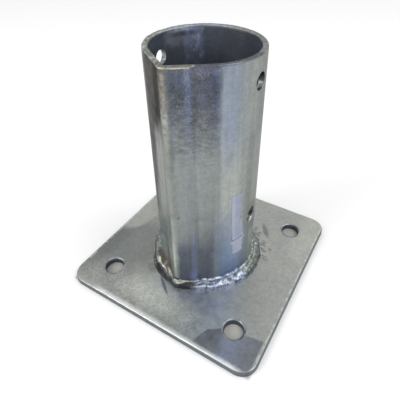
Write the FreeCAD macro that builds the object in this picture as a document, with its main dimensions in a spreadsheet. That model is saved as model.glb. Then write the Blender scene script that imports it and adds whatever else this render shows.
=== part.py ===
import FreeCAD, Part
import math
import os
import Sketcher

# Post base: a square anchor plate with an upright socket tube welded to its middle.
# One side of the tube is drawn out into a nose, whose groove takes a locking wedge.
# Frame: origin at the middle of the plate's underside, +Z up, the nose towards -Y,
# the cross holes along X. All sizes are in millimetres.

DRIVING_SIZES = {
    "plate_side": 160.0,
    "plate_thickness": 5.0,
    "plate_corner_radius": 12.0,
    "plate_top_round": 1.2,
    "plate_bottom_round": 0.5,
    "anchor_spacing": 110.0,
    "anchor_diameter": 14.0,
    "anchor_lip_chamfer": 1.6,
    "tube_diameter": 76.1,
    "tube_wall": 3.6,
    "tube_length": 180.0,
    "rim_round": 1.0,
    "nose_projection": 7.5,
    "nose_tip_radius": 5.0,
    "groove_tip_radius": 1.4,
    "seam_step": 1.6,
    "seam_round": 1.8,
    "cross_hole_diameter": 11.0,
    "upper_hole_drop": 17.0,
    "lower_hole_rise": 58.0,
    "weld_rise": 7.0,
    "weld_width": 6.4,
    "weld_nose_width": 2.0,
    "weld_nose_radius": 10.0,
    "weld_crown": 0.7,
    "weld_toe": 0.4,
}

# Sizes that follow from the driving ones
TUBE_RADIUS = "Sizes.tube_diameter / 2"
BORE_RADIUS = "Sizes.tube_diameter / 2 - Sizes.tube_wall"
NOSE_REACH = "Sizes.tube_diameter / 2 + Sizes.nose_projection"
GROOVE_REACH = NOSE_REACH + " - Sizes.tube_wall"
CREST_REACH = "Sizes.tube_diameter / 2 + Sizes.seam_step - Sizes.seam_round"
PLATE_TOP = "Sizes.plate_thickness"
EDGE_LIMIT = "Sizes.plate_thickness / 3"

# Point numbers that a constraint uses for a start, an end and a centre
START, END, CENTRE = 1, 2, 3
# Geometry numbers of a sketch's origin and of its vertical axis
ORIGIN = -1
VERTICAL = -2
UP = FreeCAD.Vector(0, 0, 1)
QUARTER_TURN = math.pi / 2
TOLERANCE = 1e-6


def make_sheet(doc):
    sheet = doc.addObject("Spreadsheet::Sheet", "Sizes")
    for row, (name, value) in enumerate(DRIVING_SIZES.items(), start=1):
        sheet.set("A%d" % row, name)
        sheet.set("B%d" % row, str(value))
        sheet.setAlias("B%d" % row, name)
    doc.recompute()
    return sheet


def new_body(doc, label):
    body = doc.addObject("PartDesign::Body", label)
    body.Label = label
    return body


def origin_feature(body, role):
    for feature in body.Origin.OriginFeatures:
        if feature.Role == role:
            return feature
    raise ValueError("no origin feature " + role)


def new_sketch(body, name, plane, height=None):
    """A sketch on one of the body's own planes, raised by an expression."""
    sketch = body.newObject("Sketcher::SketchObject", name)
    sketch.AttachmentSupport = [(origin_feature(body, plane), "")]
    sketch.MapMode = "FlatFace"
    if height:
        sketch.setExpression("AttachmentOffset.Base.z", height)
    return sketch


def value_of(sketch, expression):
    return float(sketch.evalExpression(expression))


def fix_size(sketch, name, expression, kind, *where):
    """Add a dimension to a sketch and bind it to the sheet."""
    value = value_of(sketch, expression)
    index = sketch.addConstraint(Sketcher.Constraint(kind, *where, value))
    sketch.renameConstraint(index, name)
    sketch.setExpression("Constraints." + name, expression)


def tie(sketch, kind, *where):
    sketch.addConstraint(Sketcher.Constraint(kind, *where))


def polar(radius, angle):
    """A step in a direction whose angle is counted from -Y, anticlockwise from above."""
    return FreeCAD.Vector(radius * math.sin(angle), -radius * math.cos(angle), 0)


def add_line(sketch, start, end):
    return sketch.addGeometry(Part.LineSegment(start, end))


def add_arc(sketch, centre, radius, start_angle, end_angle):
    """An anticlockwise arc, with its angles counted from -Y."""
    circle = Part.Circle(centre, UP, radius)
    arc = Part.ArcOfCircle(circle, start_angle - QUARTER_TURN, end_angle - QUARTER_TURN)
    return sketch.addGeometry(arc)


def draw_teardrop(sketch, radius, reach, tip_radius, seam=False):
    """A round wall with two tangent flanks that meet in a rounded tip on -Y.

    With a seam, the right flank ends in a soft step down to the round wall.
    """
    wall = value_of(sketch, radius)
    far = value_of(sketch, reach)
    tip = value_of(sketch, tip_radius)
    spread = math.acos((wall - tip) / (far - tip))
    tip_centre = polar(far - tip, 0)
    round_start = spread
    flank_end = polar(wall, spread)
    if seam:
        bend = value_of(sketch, "Sizes.seam_round")
        crest_reach = value_of(sketch, CREST_REACH)
        foot_reach = wall + bend
        crest_angle = spread - math.acos((wall - bend) / crest_reach)
        opening = crest_reach ** 2 + foot_reach ** 2 - (2 * bend) ** 2
        round_start = crest_angle + math.acos(opening / (2 * crest_reach * foot_reach))
        crest_centre = polar(crest_reach, crest_angle)
        foot_centre = polar(foot_reach, round_start)
        across = foot_centre - crest_centre
        step_angle = math.atan2(across.x, -across.y)
        flank_end = crest_centre + polar(bend, spread)

    round_wall = add_arc(sketch, FreeCAD.Vector(), wall, round_start, 2 * math.pi - spread)
    left = add_line(sketch, polar(wall, -spread), tip_centre + polar(tip, -spread))
    tip_arc = add_arc(sketch, tip_centre, tip, -spread, spread)
    right = add_line(sketch, tip_centre + polar(tip, spread), flank_end)
    tie(sketch, "Coincident", round_wall, CENTRE, ORIGIN, START)
    tie(sketch, "Tangent", round_wall, END, left, START)
    tie(sketch, "Tangent", left, END, tip_arc, START)
    tie(sketch, "Tangent", tip_arc, END, right, START)
    tie(sketch, "PointOnObject", tip_arc, CENTRE, VERTICAL)
    fix_size(sketch, "wall_radius", radius, "Radius", round_wall)
    fix_size(sketch, "tip_radius", tip_radius, "Radius", tip_arc)
    tip_depth = "(%s) - (%s)" % (reach, tip_radius)
    fix_size(sketch, "tip_depth", tip_depth, "DistanceY", tip_arc, CENTRE, ORIGIN, START)
    if not seam:
        tie(sketch, "Tangent", right, END, round_wall, START)
        return

    crest = add_arc(sketch, crest_centre, bend, spread, step_angle)
    foot = add_arc(sketch, foot_centre, bend, round_start + math.pi, step_angle + math.pi)
    tie(sketch, "Tangent", right, END, crest, START)
    tie(sketch, "Tangent", crest, END, foot, END)
    tie(sketch, "Tangent", foot, START, round_wall, START)
    tie(sketch, "Tangent", right, round_wall)
    tie(sketch, "Equal", crest, foot)
    fix_size(sketch, "seam_round", "Sizes.seam_round", "Radius", crest)
    fix_size(sketch, "crest_reach", CREST_REACH, "Distance", ORIGIN, START, crest, CENTRE)


def draw_rounded_square(sketch, side, corner_radius):
    """A square about the origin, with rounded corners."""
    half = value_of(sketch, side) / 2
    bend = value_of(sketch, corner_radius)
    inset = half - bend
    corners = []
    edges = []
    for turn in range(4):
        angle = turn * QUARTER_TURN
        spin = FreeCAD.Rotation(UP, math.degrees(angle))
        centre = spin.multVec(FreeCAD.Vector(inset, inset, 0))
        begin = spin.multVec(FreeCAD.Vector(inset, half, 0))
        finish = spin.multVec(FreeCAD.Vector(-inset, half, 0))
        corners.append(add_arc(sketch, centre, bend, angle + QUARTER_TURN, angle + 2 * QUARTER_TURN))
        edges.append(add_line(sketch, begin, finish))
    for turn in range(4):
        tie(sketch, "Tangent", corners[turn], END, edges[turn], START)
        tie(sketch, "Tangent", edges[turn], END, corners[(turn + 1) % 4], START)
    for corner in corners[1:]:
        tie(sketch, "Equal", corners[0], corner)
    for edge in edges[0::2]:
        tie(sketch, "Horizontal", edge)
    for edge in edges[1::2]:
        tie(sketch, "Vertical", edge)
    tie(sketch, "Symmetric", corners[0], CENTRE, corners[2], CENTRE, ORIGIN, START)
    fix_size(sketch, "corner_radius", corner_radius, "Radius", corners[0])
    fix_size(sketch, "width", side, "DistanceX", edges[1], START, edges[3], START)
    fix_size(sketch, "depth", side, "DistanceY", edges[2], START, edges[0], START)


def draw_circle(sketch, diameter, across, along):
    """A circle at given distances along the sketch's axes, or on an axis for None."""
    x = value_of(sketch, across) if across else 0
    y = value_of(sketch, along)
    radius = value_of(sketch, diameter) / 2
    circle = sketch.addGeometry(Part.Circle(FreeCAD.Vector(x, y, 0), UP, radius))
    fix_size(sketch, "diameter", diameter, "Diameter", circle)
    fix_size(sketch, "along", along, "DistanceY", ORIGIN, START, circle, CENTRE)
    if across:
        fix_size(sketch, "across", across, "DistanceX", ORIGIN, START, circle, CENTRE)
    else:
        tie(sketch, "PointOnObject", circle, CENTRE, VERTICAL)


def pad(body, sketch, name, length):
    feature = body.newObject("PartDesign::Pad", name)
    feature.Profile = sketch
    feature.setExpression("Length", length)


def cut_through(doc, body, sketch, name):
    """Cut a sketch through the whole body, to both of its sides."""
    doc.recompute()
    volume = body.Shape.Volume
    feature = body.newObject("PartDesign::Pocket", name)
    feature.Profile = sketch
    feature.Type = "ThroughAll"
    feature.SideType = "Symmetric"
    doc.recompute()
    if body.Shape.Volume > volume - TOLERANCE:
        raise RuntimeError(name + " cuts nothing")
    return feature


def lies_at(edge, height):
    box = edge.BoundBox
    return abs(box.ZMin - height) < TOLERANCE and abs(box.ZMax - height) < TOLERANCE


def dress_edges(doc, body, name, kind, size, test):
    """Round or chamfer those edges of the body's newest feature that pass the test."""
    doc.recompute()
    base = body.Tip
    names = ["Edge%d" % count for count, edge in enumerate(base.Shape.Edges, start=1) if test(edge)]
    if not names:
        raise RuntimeError("no edges found for " + name)
    feature = body.newObject("PartDesign::" + kind, name)
    feature.Base = (base, names)
    feature.setExpression("Radius" if kind == "Fillet" else "Size", size)
    doc.recompute()


def make_base_plate(doc, size):
    """The anchor plate: cut and rounded first, then drilled at its four corners."""
    body = new_body(doc, "base_plate")
    outline = new_sketch(body, "plate_outline", "XY_Plane")
    draw_rounded_square(outline, "Sizes.plate_side", "Sizes.plate_corner_radius")
    pad(body, outline, "plate_pad", PLATE_TOP)
    top = size("plate_thickness")
    top_round = "min(Sizes.plate_top_round, %s)" % EDGE_LIMIT
    bottom_round = "min(Sizes.plate_bottom_round, %s)" % EDGE_LIMIT
    dress_edges(doc, body, "plate_top_edge", "Fillet", top_round, lambda edge: lies_at(edge, top))
    dress_edges(doc, body, "plate_bottom_edge", "Fillet", bottom_round, lambda edge: lies_at(edge, 0))

    anchor = new_sketch(body, "anchor_outline", "XY_Plane")
    half_spacing = "Sizes.anchor_spacing / 2"
    draw_circle(anchor, "Sizes.anchor_diameter", half_spacing, half_spacing)
    first_hole = cut_through(doc, body, anchor, "anchor_hole")
    pattern = body.newObject("PartDesign::PolarPattern", "anchor_pattern")
    pattern.Originals = [first_hole]
    pattern.Axis = (origin_feature(body, "Z_Axis"), [""])
    pattern.Angle = 360
    pattern.Occurrences = 4
    body.Tip = pattern

    hole_radius = size("anchor_diameter") / 2

    def is_lip(edge):
        if not lies_at(edge, top) or not isinstance(edge.Curve, Part.Circle):
            return False
        return abs(edge.Curve.Radius - hole_radius) < TOLERANCE

    lip_chamfer = "min(Sizes.anchor_lip_chamfer, %s)" % EDGE_LIMIT
    dress_edges(doc, body, "anchor_lips", "Chamfer", lip_chamfer, is_lip)
    return body


def make_socket_tube(doc, size):
    """The tube with its nose and lap seam, the bore with its groove, and the cross holes."""
    body = new_body(doc, "socket_tube")
    outline = new_sketch(body, "tube_outline", "XY_Plane", PLATE_TOP)
    draw_teardrop(outline, TUBE_RADIUS, NOSE_REACH, "Sizes.nose_tip_radius", seam=True)
    pad(body, outline, "tube_pad", "Sizes.tube_length")
    bore = new_sketch(body, "bore_outline", "XY_Plane", PLATE_TOP)
    draw_teardrop(bore, BORE_RADIUS, GROOVE_REACH, "Sizes.groove_tip_radius")
    cut_through(doc, body, bore, "bore")

    cross = new_sketch(body, "cross_hole_outline", "YZ_Plane")
    lower_height = PLATE_TOP + " + Sizes.lower_hole_rise"
    draw_circle(cross, "Sizes.cross_hole_diameter", None, lower_height)
    first_hole = cut_through(doc, body, cross, "cross_hole")
    pattern = body.newObject("PartDesign::LinearPattern", "cross_hole_pattern")
    pattern.Originals = [first_hole]
    pattern.Direction = (cross, ["V_Axis"])
    hole_gap = "Sizes.tube_length - Sizes.lower_hole_rise - Sizes.upper_hole_drop"
    pattern.setExpression("Length", hole_gap)
    pattern.Occurrences = 2
    body.Tip = pattern

    rim = size("plate_thickness") + size("tube_length")
    rim_round = "min(Sizes.rim_round, Sizes.tube_wall / 3)"
    dress_edges(doc, body, "rim_edges", "Fillet", rim_round, lambda edge: lies_at(edge, rim))
    return body


def make_weld_bead(doc):
    """The fillet weld: three outlines lofted up the tube's foot, less the tube itself."""
    body = new_body(doc, "weld_bead")
    half_rise = "Sizes.weld_rise / 2"
    half_width = "(Sizes.weld_width + Sizes.weld_toe) / 2 + Sizes.weld_crown"
    half_nose_width = "(Sizes.weld_nose_width + Sizes.weld_toe) / 2 + Sizes.weld_crown"
    half_nose_radius = "(Sizes.weld_nose_radius + Sizes.nose_tip_radius) / 2"
    toe_radius = "Sizes.nose_tip_radius + Sizes.weld_toe"
    levels = (
        ("weld_foot", "0", "Sizes.weld_width", "Sizes.weld_nose_width", "Sizes.weld_nose_radius"),
        ("weld_middle", half_rise, half_width, half_nose_width, half_nose_radius),
        ("weld_top", "Sizes.weld_rise", "Sizes.weld_toe", "Sizes.weld_toe", toe_radius),
    )
    sections = []
    for name, rise, width, nose_width, tip_radius in levels:
        sketch = new_sketch(body, name, "XY_Plane", "%s + %s" % (PLATE_TOP, rise))
        outline = "%s + %s" % (TUBE_RADIUS, width)
        reach = "%s + %s" % (NOSE_REACH, nose_width)
        draw_teardrop(sketch, outline, reach, tip_radius)
        sections.append(sketch)
    loft = body.newObject("PartDesign::AdditiveLoft", "weld_loft")
    loft.Profile = sections[0]
    loft.Sections = sections[1:]
    loft.Ruled = True

    tube = new_sketch(body, "tube_space_outline", "XY_Plane", PLATE_TOP)
    draw_teardrop(tube, TUBE_RADIUS, NOSE_REACH, "Sizes.nose_tip_radius", seam=True)
    cut_through(doc, body, tube, "tube_space")
    return body


def check_document(doc, bodies):
    for item in doc.Objects:
        if "Invalid" in item.State or "Error" in item.State:
            raise RuntimeError("%s is in state %s" % (item.Name, item.State))
    for body in bodies:
        shape = body.Shape
        if shape.isNull() or not shape.isValid() or len(shape.Solids) != 1:
            raise RuntimeError(body.Label + " isn't one valid solid")


def main():
    doc = FreeCAD.newDocument("post_base")
    sheet = make_sheet(doc)

    def size(name):
        return float(sheet.get(name))

    bodies = [make_base_plate(doc, size), make_socket_tube(doc, size), make_weld_bead(doc)]
    doc.recompute()
    check_document(doc, bodies)
    os.makedirs("parts", exist_ok=True)
    for body in bodies:
        body.Shape.exportStep("parts/%s.step" % body.Label)
        print(body.Label, "volume %.1f" % body.Shape.Volume)


main()
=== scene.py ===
import math
import random
import bmesh
import bpy
import numpy as np
from mathutils import Matrix, Vector, noise


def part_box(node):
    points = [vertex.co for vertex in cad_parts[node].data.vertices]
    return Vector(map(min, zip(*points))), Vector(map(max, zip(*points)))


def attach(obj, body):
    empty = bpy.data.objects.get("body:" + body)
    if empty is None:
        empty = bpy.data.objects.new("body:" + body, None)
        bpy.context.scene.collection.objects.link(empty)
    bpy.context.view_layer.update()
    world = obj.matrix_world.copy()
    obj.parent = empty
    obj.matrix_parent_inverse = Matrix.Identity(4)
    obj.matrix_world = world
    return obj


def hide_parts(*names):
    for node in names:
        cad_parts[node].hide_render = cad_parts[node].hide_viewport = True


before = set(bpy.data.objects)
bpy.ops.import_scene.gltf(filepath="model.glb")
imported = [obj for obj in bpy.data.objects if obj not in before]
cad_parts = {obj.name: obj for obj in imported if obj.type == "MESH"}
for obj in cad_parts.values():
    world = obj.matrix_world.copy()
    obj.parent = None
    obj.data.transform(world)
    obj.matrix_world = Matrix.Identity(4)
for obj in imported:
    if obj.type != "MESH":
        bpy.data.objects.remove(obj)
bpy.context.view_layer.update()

# Meshes are drawn in millimetres and scaled once, so every length below is in
# millimetres unless its name or comment says otherwise
MM = 0.001

# The camera, as fitted to the photograph's edges, rims and holes
PICTURE = 400
CAMERA_AT = Vector((118.0, -194.2, 261.8)) * MM
AZIMUTH = math.radians(30.35)
ELEVATION = math.radians(34.82)
ROLL = math.radians(0.08)
FOCAL_PIXELS = 385.9
CENTRE_PIXEL = (211.2, 153.0)
SENSOR = 36.0

# Sizes of the real object. Those of the tube, the plate and the weld are the solids' own
PLATE_BOX = [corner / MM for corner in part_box("base_plate")]
TUBE_BOX = [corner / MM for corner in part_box("socket_tube")]
PLATE_HALF = PLATE_BOX[1].x
PLATE_TOP = PLATE_BOX[1].z
PLATE_CORNER = 12.0
TOP_ROUND = 1.2
BOTTOM_ROUND = 0.5
ANCHOR_OFFSET = 55.0
ANCHOR_RADIUS = 7.0
ANCHOR_LIP = 1.6
RIM = TUBE_BOX[1].z
TUBE_RADIUS = TUBE_BOX[1].x
NOSE_REACH = -TUBE_BOX[0].y
WALL = 3.6
NOSE_TIP = 5.0
GROOVE_TIP = 1.4
SEAM_STEP = 1.6
SEAM_ROUND = 1.8
RIM_ROUND = 1.0
CROSS_RADIUS = 5.5
CROSS_HEIGHTS = (PLATE_TOP + 58.0, RIM - 17.0)
WELD_RISE = 7.0
WELD_REACH = 45.0
FILM_LOW = 34.0
FILM_HIGH = 92.0
FILM_CREASE = 49.5
FILM_BITE = 70.0


def make_camera():
    back = Vector((
        math.sin(AZIMUTH) * math.cos(ELEVATION),
        -math.cos(AZIMUTH) * math.cos(ELEVATION),
        math.sin(ELEVATION),
    ))
    level = Vector((math.cos(AZIMUTH), math.sin(AZIMUTH), 0))
    upright = back.cross(level)
    right = level * math.cos(ROLL) + upright * math.sin(ROLL)
    up = upright * math.cos(ROLL) - level * math.sin(ROLL)
    data = bpy.data.cameras.new("camera")
    data.sensor_width = SENSOR
    data.lens = FOCAL_PIXELS / PICTURE * SENSOR
    data.shift_x = (PICTURE / 2 - CENTRE_PIXEL[0]) / PICTURE
    data.shift_y = (CENTRE_PIXEL[1] - PICTURE / 2) / PICTURE
    data.clip_start = 0.01
    camera = bpy.data.objects.new("camera", data)
    turn = Matrix((right, up, back)).transposed().to_4x4()
    camera.matrix_world = Matrix.Translation(CAMERA_AT) @ turn
    bpy.context.scene.collection.objects.link(camera)
    bpy.context.scene.camera = camera


# Shapes

def new_object(name, points, faces):
    mesh = bpy.data.meshes.new(name)
    mesh.from_pydata([Vector(point) * MM for point in points], [], faces)
    mesh.validate()
    sides = bmesh.new()
    sides.from_mesh(mesh)
    bmesh.ops.recalc_face_normals(sides, faces=sides.faces)
    sides.to_mesh(mesh)
    sides.free()
    mesh.shade_smooth()
    made = bpy.data.objects.new(name, mesh)
    bpy.context.scene.collection.objects.link(made)
    return made


def grid_faces(rows, columns, closed_rows=False, first=0):
    """Quads between rows of points, where each row is a closed ring."""
    faces = []
    for row in range(rows if closed_rows else rows - 1):
        above = (row + 1) % rows
        for column in range(columns):
            beside = (column + 1) % columns
            faces.append((
                first + row * columns + column,
                first + row * columns + beside,
                first + above * columns + beside,
                first + above * columns + column,
            ))
    return faces


def capped(name, rings):
    """A closed solid through rings of points, with flat ends."""
    count = len(rings[0])
    points = [point for ring in rings for point in ring]
    faces = grid_faces(len(rings), count)
    faces.append(tuple(reversed(range(count))))
    faces.append(tuple(range(len(points) - count, len(points))))
    return new_object(name, points, faces)


def cut_out(solid, cutters, crease):
    """Take the cutters away from the solid. Edges sharper than crease degrees stay sharp."""
    for cutter in cutters:
        modifier = solid.modifiers.new("cut", "BOOLEAN")
        modifier.operation = "DIFFERENCE"
        modifier.solver = "EXACT"
        modifier.object = cutter
    bpy.context.view_layer.update()
    view = bpy.context.evaluated_depsgraph_get()
    mesh = bpy.data.meshes.new_from_object(solid.evaluated_get(view))
    solid.modifiers.clear()
    solid.data = mesh
    mesh.shade_smooth()
    mesh.set_sharp_from_angle(angle=math.radians(crease))
    for cutter in cutters:
        bpy.data.objects.remove(cutter)


def ripple(point, size, seed=0.0):
    """Smooth noise from -1 to 1 with features of about the given size."""
    return noise.noise(Vector(point) / size + Vector((seed, seed * 0.7, -seed)))


def bulge(value, middle, spread):
    """A smooth hump of height 1 round the middle."""
    return math.exp(-((value - middle) / spread) ** 2)


def between(value, low, high):
    """Rises smoothly from 0 at low to 1 at high."""
    share = min(max((value - low) / (high - low), 0.0), 1.0)
    return share * share * (3 - 2 * share)


class Teardrop:
    """Distance from the tube's axis to its wall, by direction.

    Directions are counted from the nose, anticlockwise from above. The round wall has
    two tangent flanks that meet in a rounded tip. With a step, the right flank ends
    in a soft seam.
    """

    def __init__(self, wall, reach, tip, step=0.0, bend=0.0):
        self.wall = wall
        self.tip = tip
        self.depth = reach - tip
        self.spread = math.acos((wall - tip) / self.depth)
        self.tip_edge = math.atan2(tip * math.sin(self.spread), self.depth + tip * math.cos(self.spread))
        self.bend = bend
        if bend:
            self.crest_reach = wall + step - bend
            self.foot_reach = wall + bend
            self.crest = self.spread - math.acos((wall - bend) / self.crest_reach)
            opening = self.crest_reach ** 2 + self.foot_reach ** 2 - (2 * bend) ** 2
            self.foot = self.crest + math.acos(opening / (2 * self.crest_reach * self.foot_reach))
            self.flank_end = self.angle_of(self.crest_reach, self.crest, bend, self.spread)
            across_x = self.foot_reach * math.sin(self.foot) - self.crest_reach * math.sin(self.crest)
            across_y = self.foot_reach * math.cos(self.foot) - self.crest_reach * math.cos(self.crest)
            self.middle = self.angle_of(self.crest_reach, self.crest, bend, math.atan2(across_x, across_y))

    @staticmethod
    def angle_of(reach, angle, extra, extra_angle):
        """The direction of a point after a step of extra from the point at reach and angle."""
        x = reach * math.sin(angle) + extra * math.sin(extra_angle)
        y = reach * math.cos(angle) + extra * math.cos(extra_angle)
        return math.atan2(x, y)

    @staticmethod
    def arc(reach, offset, radius, side):
        """Where a ray from the axis meets a circle, on its far side for 1 and near side for -1."""
        inside = radius ** 2 - (reach * math.sin(offset)) ** 2
        return reach * math.cos(offset) + side * math.sqrt(max(inside, 0.0))

    def at(self, direction):
        turn = math.remainder(direction, 2 * math.pi)
        size = abs(turn)
        if size < self.tip_edge:
            return self.arc(self.depth, size, self.tip, 1)
        if self.bend and turn > self.flank_end:
            if turn < self.middle:
                return self.arc(self.crest_reach, turn - self.crest, self.bend, 1)
            if turn < self.foot:
                return self.arc(self.foot_reach, turn - self.foot, self.bend, -1)
            return self.wall
        if size < self.spread:
            return self.wall / math.cos(self.spread - size)
        return self.wall


OUTSIDE = Teardrop(TUBE_RADIUS, NOSE_REACH, NOSE_TIP, SEAM_STEP, SEAM_ROUND)
INSIDE = Teardrop(TUBE_RADIUS - WALL, NOSE_REACH - WALL, GROOVE_TIP)


def place(direction, reach, height):
    """The point in a direction from the nose, at a reach from the axis and a height."""
    return Vector((reach * math.sin(direction), -reach * math.cos(direction), height))


def directions(fine, coarse):
    """Directions all round, fine degrees apart over the nose and the seam, coarse elsewhere."""
    front = np.radians(np.arange(-45, 45, fine))
    rest = np.radians(np.arange(45, 315, coarse))
    return [float(angle) for angle in (*front, *rest)]


def circle(radius, count):
    angles = [2 * math.pi * step / count for step in range(count)]
    return [(radius * math.cos(angle), radius * math.sin(angle)) for angle in angles]


def quarter_turn(count):
    return [step * math.pi / 2 / count for step in range(count + 1)]


def rounding(radius, count):
    """Steps of a rounded edge: how far in from the side, and how far down from the top."""
    return [(radius * (1 - math.cos(turn)), radius * (1 - math.sin(turn))) for turn in quarter_turn(count)]


def make_cross_cutter(height):
    """A round bar along X whose ends flare, so that each hole gets a softened lip."""
    flare_start = TUBE_RADIUS - 0.9
    flare_width = 0.7
    profile = []
    for turn in quarter_turn(5):
        profile.append((flare_start + math.sin(turn), CROSS_RADIUS + flare_width * (1 - math.cos(turn))))
    profile.append((TUBE_RADIUS + 3, CROSS_RADIUS + 3))
    profile = [(-x, radius) for x, radius in reversed(profile)] + profile
    rings = []
    for x, radius in profile:
        rings.append([(x, across, height + up) for across, up in circle(radius, 56)])
    return capped("cutter", rings)


def tube_rows():
    """Down one side of the wall: how far in from the outside or the inside, and height."""
    rows = [(0, 0.0, PLATE_TOP)]
    finer = RIM - 8
    heights = [*np.arange(PLATE_TOP + 2, finer, 3.0), *np.arange(finer, RIM - RIM_ROUND - 0.2, 0.8)]
    lip = rounding(RIM_ROUND, 5)
    rows += [(0, 0.0, float(height)) for height in heights]
    rows += [(0, inset, RIM - drop) for inset, drop in lip]
    rows += [(1, inset, RIM - drop) for inset, drop in reversed(lip)]
    rows += [(1, 0.0, float(height)) for height in reversed(heights)]
    rows.append((1, 0.0, PLATE_TOP))
    return rows


def turn_of(direction):
    """Degrees from the nose, between -180 and 180, positive to the right."""
    return math.degrees(math.remainder(direction, 2 * math.pi))


def zinc_run(direction, height):
    """Thickness of the zinc that ran and froze inside the rim, at the back left."""
    turn = turn_of(direction)
    along = bulge(turn, -122, 16) * (0.75 + 0.25 * math.sin(turn * 0.7))
    return 1.3 * along * bulge(height, RIM - 3.0, 2.4)


def rim_lumps(direction):
    """The rim's zinc coat is lumpiest at the front left."""
    turn = turn_of(direction)
    return 0.35 + 1.05 * bulge(turn, -45, 38) + 0.9 * bulge(turn, -102, 26)


def make_tube():
    """The tube's wall with its zinc coat: lumpy round the rim and nearly smooth below."""
    around = directions(fine=0.6, coarse=1.5)
    rows = tube_rows()
    points = []
    for side, inset, height in rows:
        rim = between(height, RIM - 4, RIM - 0.5)
        for direction in around:
            reach = INSIDE.at(direction) + inset if side else OUTSIDE.at(direction) - inset
            point = place(direction, reach, height)
            lump = abs(ripple(point, 2.8, 3.0)) + 0.4 * abs(ripple(point, 1.4, 5.0))
            lump *= rim * rim_lumps(direction)
            if side:
                reach -= zinc_run(direction, height) + 0.4 * lump
            else:
                reach += 0.04 * ripple(point, 20.0) * (1 - rim) - 0.45 * lump
            drop = 0.5 * lump * between(height, RIM - 1.2, RIM)
            points.append(place(direction, reach, height - drop))
    tube = new_object("tube", points, grid_faces(len(rows), len(around), closed_rows=True))
    cut_out(tube, [make_cross_cutter(height) for height in CROSS_HEIGHTS], crease=38)
    return tube


def square_outline(half, corner, inset):
    """Points round the plate's rounded square, set in from its edge."""
    points = []
    steps = 14
    straight = 60
    for quarter in range(4):
        turn = quarter * math.pi / 2
        spin = Matrix.Rotation(turn, 2)
        bend = corner - inset
        for step in range(steps):
            angle = step / steps * math.pi / 2
            middle = half - corner
            points.append(spin @ Vector((middle + bend * math.cos(angle), middle + bend * math.sin(angle))))
        for step in range(straight):
            along = (half - corner) * (1 - 2 * step / straight)
            points.append(spin @ Vector((along, half - inset)))
    return points


def make_anchor_cutter(x, y):
    """A round bar that flares at the plate's top, for a hole with a rounded lip."""
    profile = [(-1.0, ANCHOR_RADIUS + 0.3), (0.3, ANCHOR_RADIUS)]
    profile += [(PLATE_TOP - drop, ANCHOR_RADIUS + widening) for widening, drop in rounding(ANCHOR_LIP, 8)]
    profile.append((PLATE_TOP + 1, ANCHOR_RADIUS + ANCHOR_LIP + 0.02))
    rings = []
    for height, radius in profile:
        rings.append([(x + across, y + along, height) for across, along in circle(radius, 64)])
    return capped("cutter", rings)


def make_plate():
    """The plate with slightly uneven rolled edges and rounded anchor holes."""
    flat_edge = 0.4
    rows = [(0.0, BOTTOM_ROUND + flat_edge), (0.0, BOTTOM_ROUND)]
    rows += rounding(BOTTOM_ROUND, 3)[1:]
    rows.append((PLATE_TOP / 2, 0.0))
    rows += [(PLATE_TOP - drop, inset) for inset, drop in rounding(TOP_ROUND, 6)]
    rows.append((PLATE_TOP, TOP_ROUND + flat_edge))
    rings = []
    for height, inset in rows:
        ring = []
        for spot in square_outline(PLATE_HALF, PLATE_CORNER, inset):
            point = Vector((spot.x, spot.y, height))
            edge = between(height, 0.5, 2.5) * (1 - between(inset, TOP_ROUND, TOP_ROUND + 0.3))
            dent = edge * 0.22 * abs(ripple(point, 7.0, 2.0))
            dent += edge * 0.10 * abs(ripple(point, 2.2, 9.0))
            shrink = 1 - dent / PLATE_HALF
            ring.append((point.x * shrink, point.y * shrink, point.z))
        rings.append(ring)
    plate = capped("plate", rings)
    cutters = []
    for x in (-ANCHOR_OFFSET, ANCHOR_OFFSET):
        for y in (-ANCHOR_OFFSET, ANCHOR_OFFSET):
            cutters.append(make_anchor_cutter(x, y))
    cut_out(plate, cutters, crease=50)
    large = (PLATE_HALF * MM) ** 2
    for face in plate.data.polygons:
        if face.area > large:
            face.use_smooth = False
    return plate


def weld_toe(direction):
    """How far from the axis the weld runs out on the plate."""
    turn = turn_of(direction)
    reach = WELD_REACH + 2.2 * bulge(turn, -82, 16) + 1.9 * bulge(turn, -26, 24)
    reach -= 2.0 * bulge(turn, 33, 20) - 0.9 * bulge(turn, 108, 22)
    near_nose = Teardrop(reach, NOSE_REACH + 1.9, 10.0).at(direction)
    return max(reach, near_nose, OUTSIDE.at(direction) + 1.4)


def weld_height(direction):
    """How high the weld climbs on the tube. It is highest where it caps the nose's foot."""
    turn = turn_of(direction)
    height = WELD_RISE + 3.0 * bulge(turn, -32, 14) + 4.0 * bulge(turn, 0, 5)
    return height - 0.8 * bulge(turn, 16, 8) + 1.2 * bulge(turn, 62, 26) - 0.8 * bulge(turn, 104, 20)


def roughness_of(direction):
    """The bead is smooth to the left of the nose and rough to the right."""
    turn = turn_of(direction)
    front = between(turn, 4, 26) * (1 - between(turn, 128, 150))
    back = 0.5 * between(turn, 140, 160) + 0.5 * (1 - between(turn, -150, -110))
    return max(front, back, 0.08)


def along_weld(direction, size, seed):
    """Noise from -1 to 1 that changes along the weld and closes round it."""
    return ripple(place(direction, WELD_REACH, 0.0), size, seed)


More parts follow.
